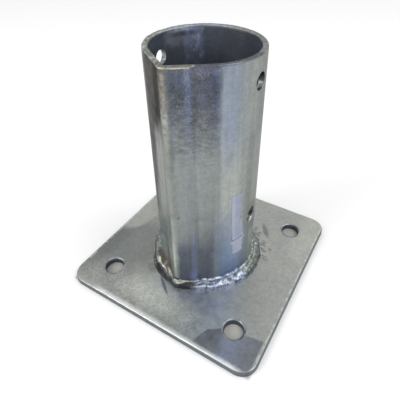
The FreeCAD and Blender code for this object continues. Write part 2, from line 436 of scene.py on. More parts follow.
def weld_crown(direction, share, point):
    """How far the weld stands out from a straight line between its two edges."""
    rough = roughness_of(direction)
    smooth = 1 - rough
    swell = math.sin(math.pi * min(max(share, 0.0), 1.0)) ** (1.0 - 0.3 * rough)
    lower = bulge(share, 0.32, 0.22) * (1.8 + 0.9 * along_weld(direction, 6.0, 1.0))
    upper = bulge(share, 0.86, 0.12) * (1.0 + 0.8 * along_weld(direction, 5.0, 4.0))
    gap = between(along_weld(direction, 4.5, 9.0), 0.15, 0.45)
    lumps = 0.45 * ripple(point, 4.2, 6.0) + 0.10 * ripple(point, 2.0, 8.0)
    strings = (lower + upper) * (1 - 0.45 * gap) + swell * lumps
    crest = (1.7 - 0.5 * between(-turn_of(direction), 42, 60)) * swell * (1 - 0.8 * abs(share - 0.46) / 0.54)
    dots = 0.6 * bulge(share, 0.1, 0.08) * abs(along_weld(direction, 0.9, 12.0)) * 2
    return rough * strings + smooth * (crest + dots + 0.10 * swell * ripple(point, 3.0, 3.0))


def spatter(points, faces):
    """Low splashes of zinc and weld metal on the plate, beside the weld's right side."""
    pick = random.Random(11)
    splashes = 30
    columns = 12
    rows = 4
    for _ in range(splashes):
        direction = math.radians(pick.uniform(104, 152))
        reach = weld_toe(direction) + pick.uniform(0.3, 1.0) * pick.uniform(0.5, 8.5)
        width = pick.uniform(0.7, 1.3)
        length = width * pick.uniform(1.2, 2.8)
        tall = pick.uniform(0.25, 0.5)
        lean = math.radians(pick.uniform(-50, -16))
        along = Vector((math.cos(lean), math.sin(lean), 0.0))
        across = Vector((-math.sin(lean), math.cos(lean), 0.0))
        centre = place(direction, reach, PLATE_TOP)
        first = len(points)
        for row in range(rows):
            share = 1 - row / rows
            for cos, sin in circle(1.0, columns):
                spot = along * (length * cos) + across * (width * sin)
                wobble = 1 + 0.25 * ripple(centre + spot, 1.2, 2.0)
                rise = Vector((0.0, 0.0, tall * (1 - share ** 2) - 0.05))
                points.append(centre + spot * share * wobble + rise)
        faces.extend(grid_faces(rows, columns, first=first))
        faces.append(tuple(range(first, first + columns)))
        top = first + (rows - 1) * columns
        faces.append(tuple(range(top, top + columns)))


def make_weld():
    """The fillet weld round the tube's foot: a smooth left side and a rough right side."""
    around = directions(fine=0.3, coarse=0.45)
    steps = 30
    inside_wall = 0.5
    sunk = 0.2
    points = []
    for direction in around:
        wall = OUTSIDE.at(direction)
        rough = roughness_of(direction)
        toe = weld_toe(direction) + (0.25 + 0.45 * rough) * along_weld(direction, 4.0, 1.0)
        toe = max(toe, wall + 1.0)
        climb = weld_height(direction) + (0.3 + 0.6 * rough) * along_weld(direction, 4.0, 2.0)
        normal = Vector((climb, toe - wall)).normalized()
        for step in range(steps):
            share = step / (steps - 1)
            reach = toe + (wall - 0.3 - toe) * share
            rise = climb * share
            crown = weld_crown(direction, share, place(direction, reach, PLATE_TOP + rise))
            reach += normal.x * crown
            rise += normal.y * crown
            points.append(place(direction, reach, PLATE_TOP + max(rise, 0.0)))
        points.append(place(direction, wall - inside_wall, PLATE_TOP + climb / 2))
        points.append(place(direction, wall - inside_wall, PLATE_TOP - sunk))
        points.append(place(direction, toe - sunk, PLATE_TOP - sunk))
    faces = grid_faces(len(around), steps + 3, closed_rows=True)
    spatter(points, faces)
    weld = new_object("weld", points, faces)
    weld.data.set_sharp_from_angle(angle=math.radians(75))
    return weld


def film_edges(height):
    """The strip's left and right edges at a height, in degrees from the nose."""
    share = between(height, FILM_LOW, FILM_HIGH)
    left = 61.2 - 3.6 * share
    right = 76.5 - 6.0 * share
    flap = bulge(height, FILM_CREASE - 2.6, 1.3)
    left -= 2.8 * flap
    right += 3.0 * flap - 1.6 * (1 - between(height, FILM_CREASE - 4, FILM_CREASE - 2))
    right -= 4.2 * bulge(height, FILM_BITE, 2.0)
    ragged = ripple((height, 0, 0), 2.4, 5.0)
    corner = 1.2 * between(height, FILM_HIGH - 1.5, FILM_HIGH)
    return left + 0.5 * ragged + corner, right + 0.6 * ripple((height, 9, 0), 3.0, 7.0) - corner


def make_film():
    """A torn strip of clear protective film that stays stuck on the tube."""
    rows = 90
    columns = 14
    gap = 0.05
    thick = 0.12
    points = []
    for layer in (gap, gap + thick):
        for row in range(rows + 1):
            height = FILM_LOW + (FILM_HIGH - FILM_LOW) * row / rows
            left, right = film_edges(height)
            for column in range(columns + 1):
                across = column / columns
                turn = math.radians(left + (right - left) * across)
                ridge = 0.55 * bulge(height - 1.2 * across, FILM_CREASE, 0.7) if layer > gap else 0.0
                torn = 0.7 * ripple((across * 12, 4, 0), 3.0) * (1 - between(height, FILM_LOW, FILM_LOW + 3))
                points.append(place(turn, TUBE_RADIUS + layer + ridge, height + torn))
    width = columns + 1
    size = width * (rows + 1)
    faces = []
    for row in range(rows):
        for column in range(columns):
            a = row * width + column
            faces.append((a + size, a + size + 1, a + size + width + 1, a + size + width))
            faces.append((a, a + width, a + width + 1, a + 1))
    edge = [row * width for row in range(rows + 1)]
    edge += [rows * width + column for column in range(1, width)]
    edge += [row * width + columns for row in range(rows - 1, -1, -1)]
    edge += [column for column in range(columns - 1, 0, -1)]
    for here, after in zip(edge, edge[1:] + edge[:1]):
        faces.append((here + size, after + size, after, here))
    film = new_object("film_strip", points, faces)
    film.data.set_sharp_from_angle(angle=math.radians(50))
    return film


# Materials

def shown(red, green, blue):
    """A colour as it shows on screen, from 0 to 255, turned to the linear one."""
    linear = []
    for value in (red, green, blue):
        share = value / 255
        linear.append(share / 12.92 if share < 0.04045 else ((share + 0.055) / 1.055) ** 2.4)
    return tuple(linear)


class Shader:
    """Builds a material's nodes with short calls. Its lengths are in millimetres."""

    def __init__(self, name):
        self.material = bpy.data.materials.new(name)
        self.material.use_nodes = True
        self.tree = self.material.node_tree
        self.tree.nodes.clear()
        self.surface = self.add("BsdfPrincipled")
        self.add("OutputMaterial", Surface=self.surface.outputs[0])
        scale = self.add("VectorMath", Vector=self.add("TexCoord").outputs["Object"])
        scale.operation = "SCALE"
        self.join(1 / MM, scale.inputs["Scale"])
        self.place = scale.outputs[0]
        self.x, self.y, self.z = self.add("SeparateXYZ", Vector=self.place).outputs
        backward = self.math("MULTIPLY", self.y, -1.0)
        self.turn = self.math("DEGREES", self.math("ARCTAN2", self.x, backward))
        self.relief = None

    def join(self, item, socket):
        if isinstance(item, bpy.types.NodeSocket):
            self.tree.links.new(item, socket)
        else:
            socket.default_value = item

    def add(self, kind, **inputs):
        """A new node with its named inputs set or linked."""
        node = self.tree.nodes.new("ShaderNode" + kind)
        for name, item in inputs.items():
            self.join(item, node.inputs[name])
        return node

    def set(self, name, item):
        if isinstance(item, tuple):
            item = (*item, 1.0)
        self.join(item, self.surface.inputs[name])

    def math(self, kind, *items):
        node = self.add("Math")
        node.operation = kind
        for item, socket in zip(items, node.inputs):
            self.join(item, socket)
        return node.outputs[0]

    def noise(self, size, shift, detail, rough, stretch=(1, 1, 1)):
        """Noise from 0 to 1 whose features are about size across."""
        mapping = self.add("Mapping", Vector=self.place, Scale=stretch, Location=(shift, shift * 0.6, -shift))
        node = self.add("TexNoise", Vector=mapping.outputs[0], Scale=1 / size, Detail=detail, Roughness=rough)
        return node.outputs["Fac"]

    def smooth(self, value, low, high, start=0.0, end=1.0):
        """Goes smoothly from start to end as value goes from low to high."""
        ends = {"From Min": low, "From Max": high, "To Min": start, "To Max": end}
        node = self.add("MapRange", Value=value, **ends)
        node.interpolation_type = "SMOOTHSTEP"
        # A smooth step needs no clamp, and a clamp on each would fill the shader's memory
        node.clamp = False
        return node.outputs[0]

    def cloud(self, size, shift, low, high, start=0.0, end=1.0, detail=2.0, rough=0.6, stretch=(1, 1, 1)):
        """Goes smoothly from start to end as noise of about the size goes from low to high."""
        return self.smooth(self.noise(size, shift, detail, rough, stretch), low, high, start, end)

    def mix(self, share, first, second, kind="MIX"):
        """Mixes two colours. A plain one is written as it shows on screen, from 0 to 255."""
        node = self.add("Mix")
        node.data_type = "RGBA"
        node.blend_type = kind
        self.join(share, node.inputs["Factor"])
        for item, socket in ((first, node.inputs[6]), (second, node.inputs[7])):
            if isinstance(item, tuple):
                item = (*shown(*item), 1.0)
            self.join(item, socket)
        return node.outputs[2]

    def product(self, *items):
        total = items[0]
        for item in items[1:]:
            total = self.math("MULTIPLY", total, item)
        return total

    def cover(self, tone, colour, *masks):
        """The colour over the tone, as far as all the masks let it through."""
        return self.mix(self.product(*masks), tone, colour)

    def scaled(self, tone, mask, level):
        """The tone times the level where the mask is 1."""
        return self.mix(mask, tone, self.mix(1.0, tone, level, "MULTIPLY"))

    def dot(self, x, y, by_x, by_y):
        """The sum of x times by_x and y times by_y."""
        return self.math("ADD", self.math("MULTIPLY", x, by_x), self.math("MULTIPLY", y, by_y))

    def length(self, x, y):
        return self.math("SQRT", self.dot(x, y, x, y))

    def choose(self, share, first, second):
        """The first value where the share is 0 and the second where it is 1."""
        return self.math("MULTIPLY_ADD", share, self.math("SUBTRACT", second, first), first)

    def warped(self, value, size, amount, shift):
        """The value pushed about by noise, so that an edge drawn from it is ragged."""
        push = self.math("SUBTRACT", self.noise(size, shift, 2.0, 0.5), 0.5)
        return self.math("MULTIPLY_ADD", push, 2 * amount, value)

    def window(self, value, low, high, soft):
        """1 between low and high, fading out over the soft length. None leaves a side open."""
        sides = []
        if low is not None:
            sides.append(self.smooth(value, low - soft / 2, low + soft / 2))
        if high is not None:
            sides.append(self.smooth(value, high - soft / 2, high + soft / 2, 1.0, 0.0))
        return self.product(*sides)

    def spot(self, x, y, length, width, lean=0.0, soft=0.4, ragged=0.25, shift=0.0):
        """A soft ellipse on the plate, with its length turned by lean degrees."""
        cos, sin = math.cos(math.radians(lean)), math.sin(math.radians(lean))
        dx = self.math("SUBTRACT", self.x, x)
        dy = self.math("SUBTRACT", self.y, y)
        along = self.dot(dx, dy, cos / length, sin / length)
        across = self.dot(dx, dy, -sin / width, cos / width)
        far = self.warped(self.length(along, across), min(length, width) * 0.8, ragged, shift)
        return self.smooth(far, 1 - soft, 1 + soft, 1.0, 0.0)

    def add_relief(self, size, shift, depth, detail=2.0, rough=0.6):
        """Stack a bump of noise on those before it."""
        height = self.noise(size, shift, detail, rough)
        node = self.add("Bump", Distance=depth * MM, Height=height)
        if self.relief is not None:
            self.join(self.relief, node.inputs["Normal"])
        self.relief = node.outputs[0]
        self.join(self.relief, self.surface.inputs["Normal"])


# Tones of the coat and of painted light and shade, as they show on screen, from 0 to 255
ZINC = (150, 154, 151)
PALE = (166, 169, 163)
DULL = (124, 129, 129)
SLATE = (84, 89, 100)
BLACK = (34, 36, 40)
BLUE = (112, 127, 150)
CREAM = (206, 203, 188)
TEAL = (146, 164, 164)


def mottled(shade, tone, shift):
    """Faint cloudy spangle and fine speckle about a tone."""
    grain = 1.0
    for size, detail, amount, seed in ((11.0, 3.0, 0.035, 0), (3.2, 2.0, 0.05, 3), (1.1, 1.0, 0.055, 7)):
        cloud = shade.cloud(size, shift + seed, 0.34, 0.66, detail=detail, rough=0.55)
        level = shade.math("SUBTRACT", grain, amount)
        grain = shade.math("MULTIPLY_ADD", cloud, 2 * amount, level)
    return shade.mix(1.0, tone, grain, "MULTIPLY")


def speckled(shade, tone, mask, amount, shift, size):
    """Coarser light and dark grains where the mask says."""
    grains = shade.cloud(size, shift, 0.36, 0.64, 1 - amount, 1 + amount)
    return shade.scaled(tone, mask, grains)


def coat_roughness(shade, low, high):
    return shade.cloud(6.0, 21, 0.3, 0.7, low, high, detail=3.0)


def zinc_finish(shade, tone, roughness):
    shade.set("Base Color", tone)
    shade.set("Metallic", 1.0)
    shade.set("Roughness", roughness)


class Layers:
    """Paints colours over one another on the tube, by direction and height."""

    def __init__(self, shade, tone):
        self.shade = shade
        self.tone = tone
        turn = shade.warped(shade.turn, 16.0, 2.5, 1.0)
        self.turn = shade.warped(turn, 2.5, 0.8, 4.0)
        self.height = shade.warped(shade.z, 9.0, 5.0, 2.0)

    def paint(self, colour, share, turns, heights, soft_turn, soft_height=16, lean=0.0):
        """A soft band between two turns in degrees and two heights. None leaves a side open.

        Lean is how many degrees the band moves aside for each millimetre up.
        """
        shade = self.shade
        turn = shade.math("MULTIPLY_ADD", self.height, -lean, self.turn) if lean else self.turn
        mask = shade.product(
            shade.window(turn, turns[0], turns[1], soft_turn),
            shade.window(self.height, heights[0], heights[1], soft_height),
            share,
        )
        self.tone = shade.mix(mask, self.tone, colour)
        return mask


def paint_flanks(paint):
    """The even tones beside the nose, partly stains and partly painted shade and reflections, with a dark
    brown streak at the top left.
    """
    paint(PALE, 0.7, (-24, 1), (62, 140), 6)
    paint(DULL, 0.8, (-40, -23), (62, 142), 8, 24)
    paint((138, 144, 143), 0.8, (2, 46), (60, 150), 6, 30)
    paint((168, 173, 170), 0.6, (46, 66), (72, 142), 8, 20)
    paint((166, 170, 166), 0.5, (87, 104), (62, 130), 5, 20)
    paint((82, 83, 81), 0.8, (-70, -48), (55, 148), 9, 24, 0.19)
    paint((128, 132, 128), 0.4, (-7, 5), (74, 150), 3, 20)
    paint((104, 108, 106), 0.35, (-2, 6), (114, 138), 3, 14)
    paint((60, 60, 56), 0.4, (-37, -25), (121, 141), 8, 18)
    paint((96, 95, 92), 0.9, (-49, -10), (142, None), 11, 18, 0.05)
    paint((74, 72, 69), 0.8, (-34, -10), (146, None), 9, 12)
    paint((52, 50, 47), 0.7, (-27, -12), (141, 161), 8, 12)
    paint((32, 29, 26), 0.95, (-39, -26.4), (149, None), 4, 9, 0.15)
    paint((124, 121, 113), 0.75, (-3, 4), (158, None), 2, 12)
    paint((136, 142, 146), 0.5, (50, 74), (124, None), 10, 30)


def paint_rim_bands(paint):
    """Dark bands that hang from the rim, partly patina and partly painted reflection of dark surroundings.
    Gives the masks of the two darkest.
    """
    dark = paint((76, 81, 91), 0.9, (3.6, 22), (142, None), 5, 60)
    paint((116, 127, 150), 0.6, (15.5, 20.2), (150, None), 3, 50)
    paint((112, 121, 140), 0.15, (14.5, 20.5), (60, None), 4, 40)
    darker = paint((76, 79, 87), 0.9, (20.5, 44.5), (142, None), 5, 60)
    paint((112, 113, 126), 0.6, (22, 58), (180, None), 8, 4)
    paint((74, 80, 102), 0.5, (36, 45.5), (148, None), 6, 50)
    paint((138, 148, 164), 0.8, (44, 62), (124, None), 12, 44)
    paint((150, 158, 166), 0.3, (66, 70), (150, None), 3, 30)
    paint(DULL, 0.45, (76, 84.5), (55, 138), 5, 20)
    return dark, darker


def paint_foot_bands(paint):
    """Dark and bluish bands that rise from the foot, partly stains and partly painted reflection."""
    paint((108, 114, 127), 0.9, (3.5, 21), (None, 54), 4, 26)
    paint((117, 120, 130), 0.95, (20.5, 39), (None, 56), 8, 34)
    paint((134, 145, 168), 0.75, (15.8, 20.4), (None, 60), 3, 24)
    paint((150, 161, 180), 0.55, (38, 62), (36, 76), 8, 24)
    paint((148, 167, 198), 0.9, (44, 72), (None, 50), 12, 40)
    paint((162, 176, 188), 0.8, (68, 90), (None, 48), 10, 36)
    paint((200, 204, 202), 0.8, (89, 125), (None, 54), 8, 36)
    paint((150, 166, 206), 0.6, (14, 20.5), (None, 22), 3, 12)
    paint((124, 140, 176), 0.6, (46, 80), (None, 30), 8, 16)
    paint((158, 164, 160), 0.8, (-60, 3.5), (None, 58), 3, 24)
    paint(TEAL, 0.85, (-66, -57), (34, 73), 8, 12, 0.8)
    paint((196, 203, 198), 0.55, (-9, -2), (None, 62), 3, 16)
    paint((206, 212, 204), 0.7, (-12, 1), (30, 54), 4, 14)
    paint((202, 213, 210), 0.65, (-62, -17), (None, 41), 10, 22)
    paint((112, 114, 108), 0.35, (-24, -5), (None, 20), 5, 14)


def paint_smudges(paint):
    """Faint smudges across the tube, and one dark fleck."""
    paint(DULL, 0.4, (14, 38), (72, 77), 8, 4)
    paint(DULL, 0.45, (-28, -10), (131, 136), 8, 5)
    paint(DULL, 0.35, (70, 84), (131, 135), 6, 4)
    paint((108, 113, 114), 0.5, (22, 46), (133.5, 135.5), 8, 2)
    paint((108, 113, 114), 0.5, (3, 16), (130.5, 132), 4, 2)
    paint((84, 86, 84), 0.6, (4.4, 6.4), (76.4, 78.4), 1, 1.4)


def roughen_bands(layers, rough):
    """Grains, ripples and bluish clouds in the dark bands below the rim."""
    shade = layers.shade
    tone = speckled(shade, layers.tone, rough, 0.26, 25, 0.9)
    tone = speckled(shade, tone, rough, 0.16, 26, 7.0)
    ripples = shade.cloud(1.5, 36, 0.38, 0.62, 0.84, 1.16, stretch=(0.3, 0.3, 1))
    rippled = shade.product(shade.window(layers.turn, 5, 41, 10), shade.window(layers.height, 124, 164, 24))
    tone = shade.scaled(tone, rippled, ripples)
    bluish = shade.cloud(5.0, 24, 0.46, 0.62, rough=0.5)
    layers.tone = shade.cover(tone, (92, 101, 126), rough, bluish, 0.4)


def paint_front(layers):
    """The stains, painted shade and painted reflections on the side that carries the nose."""
    paint_flanks(layers.paint)
    dark, darker = paint_rim_bands(layers.paint)
    paint_foot_bands(layers.paint)
    paint_smudges(layers.paint)
    roughen_bands(layers, layers.shade.math("MAXIMUM", dark, darker))


def paint_back(layers):
    """The same kind of stains on the sides that the photograph doesn't show."""
    paint = layers.paint
    paint(DULL, 0.7, (120, 165), (120, None), 14, 50)
    paint(SLATE, 0.7, (130, 150), (150, None), 8, 30)
    paint(BLUE, 0.5, (150, 172), (None, 60), 12, 40)
    paint(SLATE, 0.6, (128, 148), (None, 48), 8, 30)
    paint(DULL, 0.6, (-150, -110), (100, None), 14, 50)
    paint(SLATE, 0.7, (-108, -84), (None, 50), 10, 30)
    paint(BLUE, 0.5, (-84, -66), (None, 70), 10, 40)


def facing_outward(shade):
    """Positive on faces that look away from the axis and negative on those of the bore."""
    facing = shade.add("NewGeometry").outputs["Normal"]
    sides = shade.add("SeparateXYZ", Vector=facing).outputs
    return shade.dot(shade.x, shade.y, sides[0], sides[1])


def bore_tone(shade):
    """Dark slate, paler low down as painted light, with paler bluish streaks at the back left below the rim
    where the zinc ran, partly its own colour and partly painted highlight.
    """
    cloud = shade.cloud(20.0, 31, 0.35, 0.65, rough=0.5)
    tone = shade.mix(cloud, (100, 105, 113), (108, 113, 123))
    back_left = shade.window(shade.turn, -160, -60, 30)
    tone = shade.mix(back_left, tone, (122, 128, 142))
    # Painted light makes the bore paler low down
    tone = shade.mix(shade.smooth(shade.z, 70, 100, 0.8, 0.0), tone, (196, 202, 214))
    turn = shade.warped(shade.turn, 8.0, 5.0, 32.0)
    # Painted highlights, partly the zinc's own paler colour, where the zinc ran and beside it
    run_and_highlight = shade.product(
        shade.window(turn, -147, -125, 8),
        shade.smooth(shade.warped(shade.z, 6.0, 8.0, 33.0), 150, 184),
    )
    beside = shade.product(
        shade.window(turn, -132, -100, 12),
        shade.smooth(shade.warped(shade.z, 4.0, 5.0, 35.0), 170, 178),
    )
    tone = shade.cover(tone, (168, 173, 188), beside, 0.9)
    tone = shade.cover(tone, (168, 180, 212), run_and_highlight, 0.85)
    highlight_flecks = shade.cloud(3.0, 34, 0.52, 0.62, stretch=(1, 1, 0.5))
    return shade.cover(tone, (220, 228, 250), run_and_highlight, highlight_flecks, 0.6)


def rim_tone(shade):
    """Greenish grey with pale spots of painted highlight over the lumps at the front left, dull at the front
    right and bluish at the back left.
    """
    tone = shade.mix(shade.window(shade.turn, 21, 92, 10), (144, 149, 144), (100, 103, 110))
    tone = shade.mix(shade.window(shade.turn, -6, 21, 3), tone, (132, 132, 124))
    tone = shade.mix(shade.window(shade.turn, -175, -105, 20), tone, (150, 158, 174))
    tone = speckled(shade, tone, 1.0, 0.2, 27, 1.8)
    # Painted highlights: pale spots over the lumps at the front left
    pale = shade.cloud(2.4, 28, 0.52, 0.64, detail=1.0, rough=0.5)
    return shade.cover(tone, (208, 211, 206), pale, shade.window(shade.turn, -105, -8, 20), 0.8)


def cross_hole_mask(shade):
    """1 on the walls of the cross holes."""
    mask = 0.0
    for height in CROSS_HEIGHTS:
        rise = shade.math("SUBTRACT", shade.z, height)
        far = shade.length(shade.y, rise)
        on_wall = shade.smooth(far, CROSS_RADIUS + 0.1, CROSS_RADIUS + 0.5, 1.0, 0.0)
        mask = shade.math("MAXIMUM", mask, on_wall)
    return mask


def tube_material():
    """Galvanised tube: pale zinc with darker, mottled bands near the rim and the foot, partly patina and
    partly painted reflection and shade, and painted highlights on the nose and the rim.
    """
    shade = Shader("galvanised_tube_coat")
    layers = Layers(shade, ZINC)
    paint_front(layers)
    paint_back(layers)
    tone = layers.tone
    # A painted highlight, partly wear, makes the ridge of the nose brighter
    ridge = shade.window(shade.warped(shade.turn, 5.0, 0.6, 6.0), -2.6, 2.8, 1.8)
    highlight_and_wear = shade.product(
        shade.smooth(layers.height, 120, 150, 0.2, 0.7),
        shade.smooth(layers.height, 152, 166, 1.0, 0.2),
    )
    tone = shade.cover(tone, (150, 152, 144), ridge, highlight_and_wear)
    tone = speckled(shade, tone, shade.product(ridge, shade.smooth(layers.height, 130, 155)), 0.22, 23, 3.0)
    # Long faint lines along the tube, clearer on the left flank
    lines = shade.cloud(1.8, 13, 0.36, 0.64, 0.86, 1.14, stretch=(1, 1, 0.03))
    left = shade.smooth(shade.turn, -4, -1, shade.smooth(shade.turn, -110, -60, 0.35, 0.9), 0.25)
    tone = shade.scaled(tone, left, lines)
    outward = facing_outward(shade)
    within = shade.smooth(outward, -22, -10, 1.0, 0.0)
    below_rim = shade.smooth(shade.z, RIM - 2.5, RIM - 1.0, 1.0, 0.0)
    tone = shade.cover(tone, bore_tone(shade), within, below_rim)
    rim = shade.smooth(shade.z, RIM - 1.3, RIM - 0.5)
    tone = shade.cover(tone, rim_tone(shade), rim, 0.9)
    # A painted highlight brightens the rim's outer edge at the nose and the right flank
    edge = shade.product(
        shade.window(shade.z, RIM - 1.3, RIM - 0.6, 0.3),
        shade.smooth(outward, 4, 12),
        shade.window(shade.turn, -6, 20, 3),
        shade.cloud(2.2, 29, 0.36, 0.56, 0.2, 0.8),
    )
    tone = mottled(shade, shade.mix(edge, tone, CREAM), 0.0)
    # Painted light and shade on the cross holes' walls: pale in the lower hole, dark in the upper one
    holes = cross_hole_mask(shade)
    wall = shade.mix(shade.smooth(shade.z, 90, 110), (176, 178, 178), (104, 106, 110))
    tone = shade.cover(tone, wall, holes, 0.85)
    tone = speckled(shade, tone, holes, 0.6, 22, 3.6)
    zinc_finish(shade, tone, shade.choose(within, coat_roughness(shade, 0.34, 0.46), 0.6))
    shade.set("Specular Tint", (0.58, 0.58, 0.58))
    shade.add_relief(2.2, 17, 0.03, detail=3.0)
    shade.add_relief(0.7, 19, 0.012)
    return shade.material


def near_anchor(shade):
    """Distance from the nearest anchor hole's middle."""
    dx = shade.math("SUBTRACT", shade.math("ABSOLUTE", shade.x), ANCHOR_OFFSET)
    dy = shade.math("SUBTRACT", shade.math("ABSOLUTE", shade.y), ANCHOR_OFFSET)
    return shade.length(dx, dy)


def plate_material():
    """Galvanised plate: mottled zinc with dull patches and dabs, painted highlights along the top edges, a
    painted reflection at the back left and painted shade on the sides and in the anchor holes.
    """
    shade = Shader("galvanised_plate_coat")
    cloud = shade.cloud(30.0, 40, 0.35, 0.65, rough=0.5)
    tone = shade.mix(cloud, (163, 165, 161), (159, 161, 158))

    def patch(colour, share, *where, **how):
        nonlocal tone
        tone = shade.cover(tone, colour, shade.spot(*where, **how), share)

    patch((174, 177, 170), 0.9, 72, 56, 12, 34, soft=0.5, shift=1)
    front = shade.spot(-22, -68, 58, 14, soft=0.5, ragged=0.3, shift=2)
    tone = shade.cover(tone, (150, 153, 149), front, 0.9)
    patch((124, 128, 126), 0.85, -56, -26, 30, 32, soft=0.5, shift=3)
    patch((112, 116, 115), 0.7, -78, -40, 12, 30, soft=0.5, shift=4)
    # Painted reflection: a sharp-edged pale patch at the back left
    patch(PALE, 0.9, -74, 18, 14, 34, soft=0.12, ragged=0.10, shift=5)
    patch((172, 181, 192), 0.8, 20, -52, 34, 18, -14, soft=0.6, shift=6)
    patch((188, 191, 186), 0.85, -6, -62, 32, 10, soft=0.6, ragged=0.3, shift=11)
    patch(DULL, 0.8, -27, -41, 5.5, 3.4, -20, soft=0.3, shift=7)
    patch((104, 108, 112), 0.85, -9, -50, 9, 1.2, -38, soft=0.3, ragged=0.15, shift=8)
    patch(BLACK, 0.9, 43.6, 13.6, 0.8, 2.8, 12, soft=0.3, ragged=0.1, shift=9)
    patch((96, 99, 98), 0.6, 36, 43, 8, 2.0, -52, soft=0.4, ragged=0.5, shift=10)
    # A dull corner with a sharp upper edge that passes below the anchor hole
    edge = shade.smooth(shade.x, 31, 40, -82.0, -64.5)
    for start, end, rise in ((37, 50, 6.5), (48, 76, 5.0)):
        edge = shade.math("ADD", edge, shade.smooth(shade.x, start, end, 0.0, rise))
    below = shade.math("SUBTRACT", shade.warped(shade.y, 5.0, 1.2, 8.0), edge)
    corner = shade.product(
        shade.smooth(shade.warped(shade.x, 6.0, 1.0, 7.0), 32, 36),
        shade.smooth(shade.x, 76.4, 77.6, 1.0, 0.0),
        shade.smooth(below, -0.8, 0.8, 1.0, 0.0),
    )
    cloud = shade.cloud(9.0, 43, 0.4, 0.6, rough=0.5)
    corner_tone = shade.mix(cloud, (114, 118, 126), (122, 127, 138))
    middle = shade.window(shade.warped(shade.x, 12.0, 3.0, 45.0), 52, 64, 12)
    corner_tone = shade.cover(corner_tone, (142, 151, 176), middle, 0.7)
    tone = shade.cover(tone, corner_tone, corner, 0.9)
    tone = mottled(shade, tone, 50.0)
    grainy = shade.math("MAXIMUM", front, shade.spot(25, -66, 12, 9, soft=0.5, shift=12))
    tone = speckled(shade, tone, grainy, 0.13, 52, 1.5)
    # The anchor holes have patchy grey-blue lips, and painted shade darkens their walls
    far = near_anchor(shade)
    around = shade.warped(far, 3.0, 0.3, 53.0)
    lip = shade.window(around, ANCHOR_RADIUS + 0.2, ANCHOR_RADIUS + ANCHOR_LIP + 0.3, 0.6)
    patchy = shade.cloud(6.0, 55, 0.4, 0.6, rough=0.5)
    lip_tone = shade.mix(patchy, (118, 125, 130), (158, 166, 172))
    tone = shade.cover(tone, lip_tone, lip, 0.8)
    wall = shade.smooth(far, ANCHOR_RADIUS, ANCHOR_RADIUS + 0.25, 0.8, 0.0)
    tone = shade.mix(wall, tone, (112, 118, 128))
    # A painted highlight makes the front edge bright. The other edges have a thin broken line of painted
    # highlight
    highlight_and_wear = shade.cloud(5.0, 54, 0.34, 0.56, 0.8, 1.0, detail=3.0)
    inner = shade.smooth(shade.x, 0, 36, -74.8, -75.8)
    front_edge_highlight = shade.product(
        shade.smooth(shade.warped(shade.y, 4.0, 0.6, 44.0), inner, -79.0),
        shade.smooth(shade.z, PLATE_TOP - 0.16, PLATE_TOP - 0.02, 0.35, 1.0),
        shade.smooth(shade.x, -60, -46, 0.1, 0.75),
        shade.smooth(shade.x, 0, 34, 1.0, 1.3),
        shade.smooth(shade.x, 66, 74, 1.0, 0.3),
        highlight_and_wear,
    )
    tone = shade.mix(front_edge_highlight, tone, (246, 249, 248))
    broken = shade.cloud(4.0, 56, 0.42, 0.58)
    side_edge_highlight = shade.window(shade.math("ABSOLUTE", shade.x), 77.6, 78.9, 0.6)
    tone = shade.cover(tone, (206, 209, 202), side_edge_highlight, broken, 0.6)
    # Painted shade darkens the plate's sides and the outer rounding of the right edge
    painted_side_shade = (98, 104, 112)
    tone = shade.mix(shade.smooth(shade.x, 78.8, 79.3, 0.0, 0.8), tone, painted_side_shade)
    side = shade.smooth(shade.z, PLATE_TOP - 0.6, PLATE_TOP - 0.15, 0.9, 0.0)
    tone = shade.mix(side, tone, painted_side_shade)
    zinc_finish(shade, tone, coat_roughness(shade, 0.36, 0.48))
    shade.add_relief(2.0, 57, 0.03, detail=3.0)
    shade.add_relief(0.8, 59, 0.014)
    return shade.material


def off_wall(shade):
    """How far a point stands out from the tube's outside, in millimetres."""
    sin = math.sin(OUTSIDE.spread)
    cos = math.cos(OUTSIDE.spread)
    aside = shade.math("ABSOLUTE", shade.x)
    past_tip = shade.math("ADD", shade.y, OUTSIDE.depth)
    from_axis = shade.math("SUBTRACT", shade.length(shade.x, shade.y), TUBE_RADIUS)
    from_tip = shade.math("SUBTRACT", shade.length(shade.x, past_tip), NOSE_TIP)
    from_front = shade.math("MULTIPLY_ADD", shade.y, -cos, -TUBE_RADIUS)
    from_flank = shade.math("MULTIPLY_ADD", aside, sin, from_front)
    on_flank = shade.math("LESS_THAN", shade.math("ABSOLUTE", shade.turn), math.degrees(OUTSIDE.spread))
    before_tip = shade.math("MULTIPLY_ADD", aside, cos, shade.product(past_tip, sin))
    on_tip = shade.math("LESS_THAN", before_tip, 0.0)
    out = shade.choose(on_flank, from_axis, from_flank)
    return shade.choose(on_tip, out, from_tip)


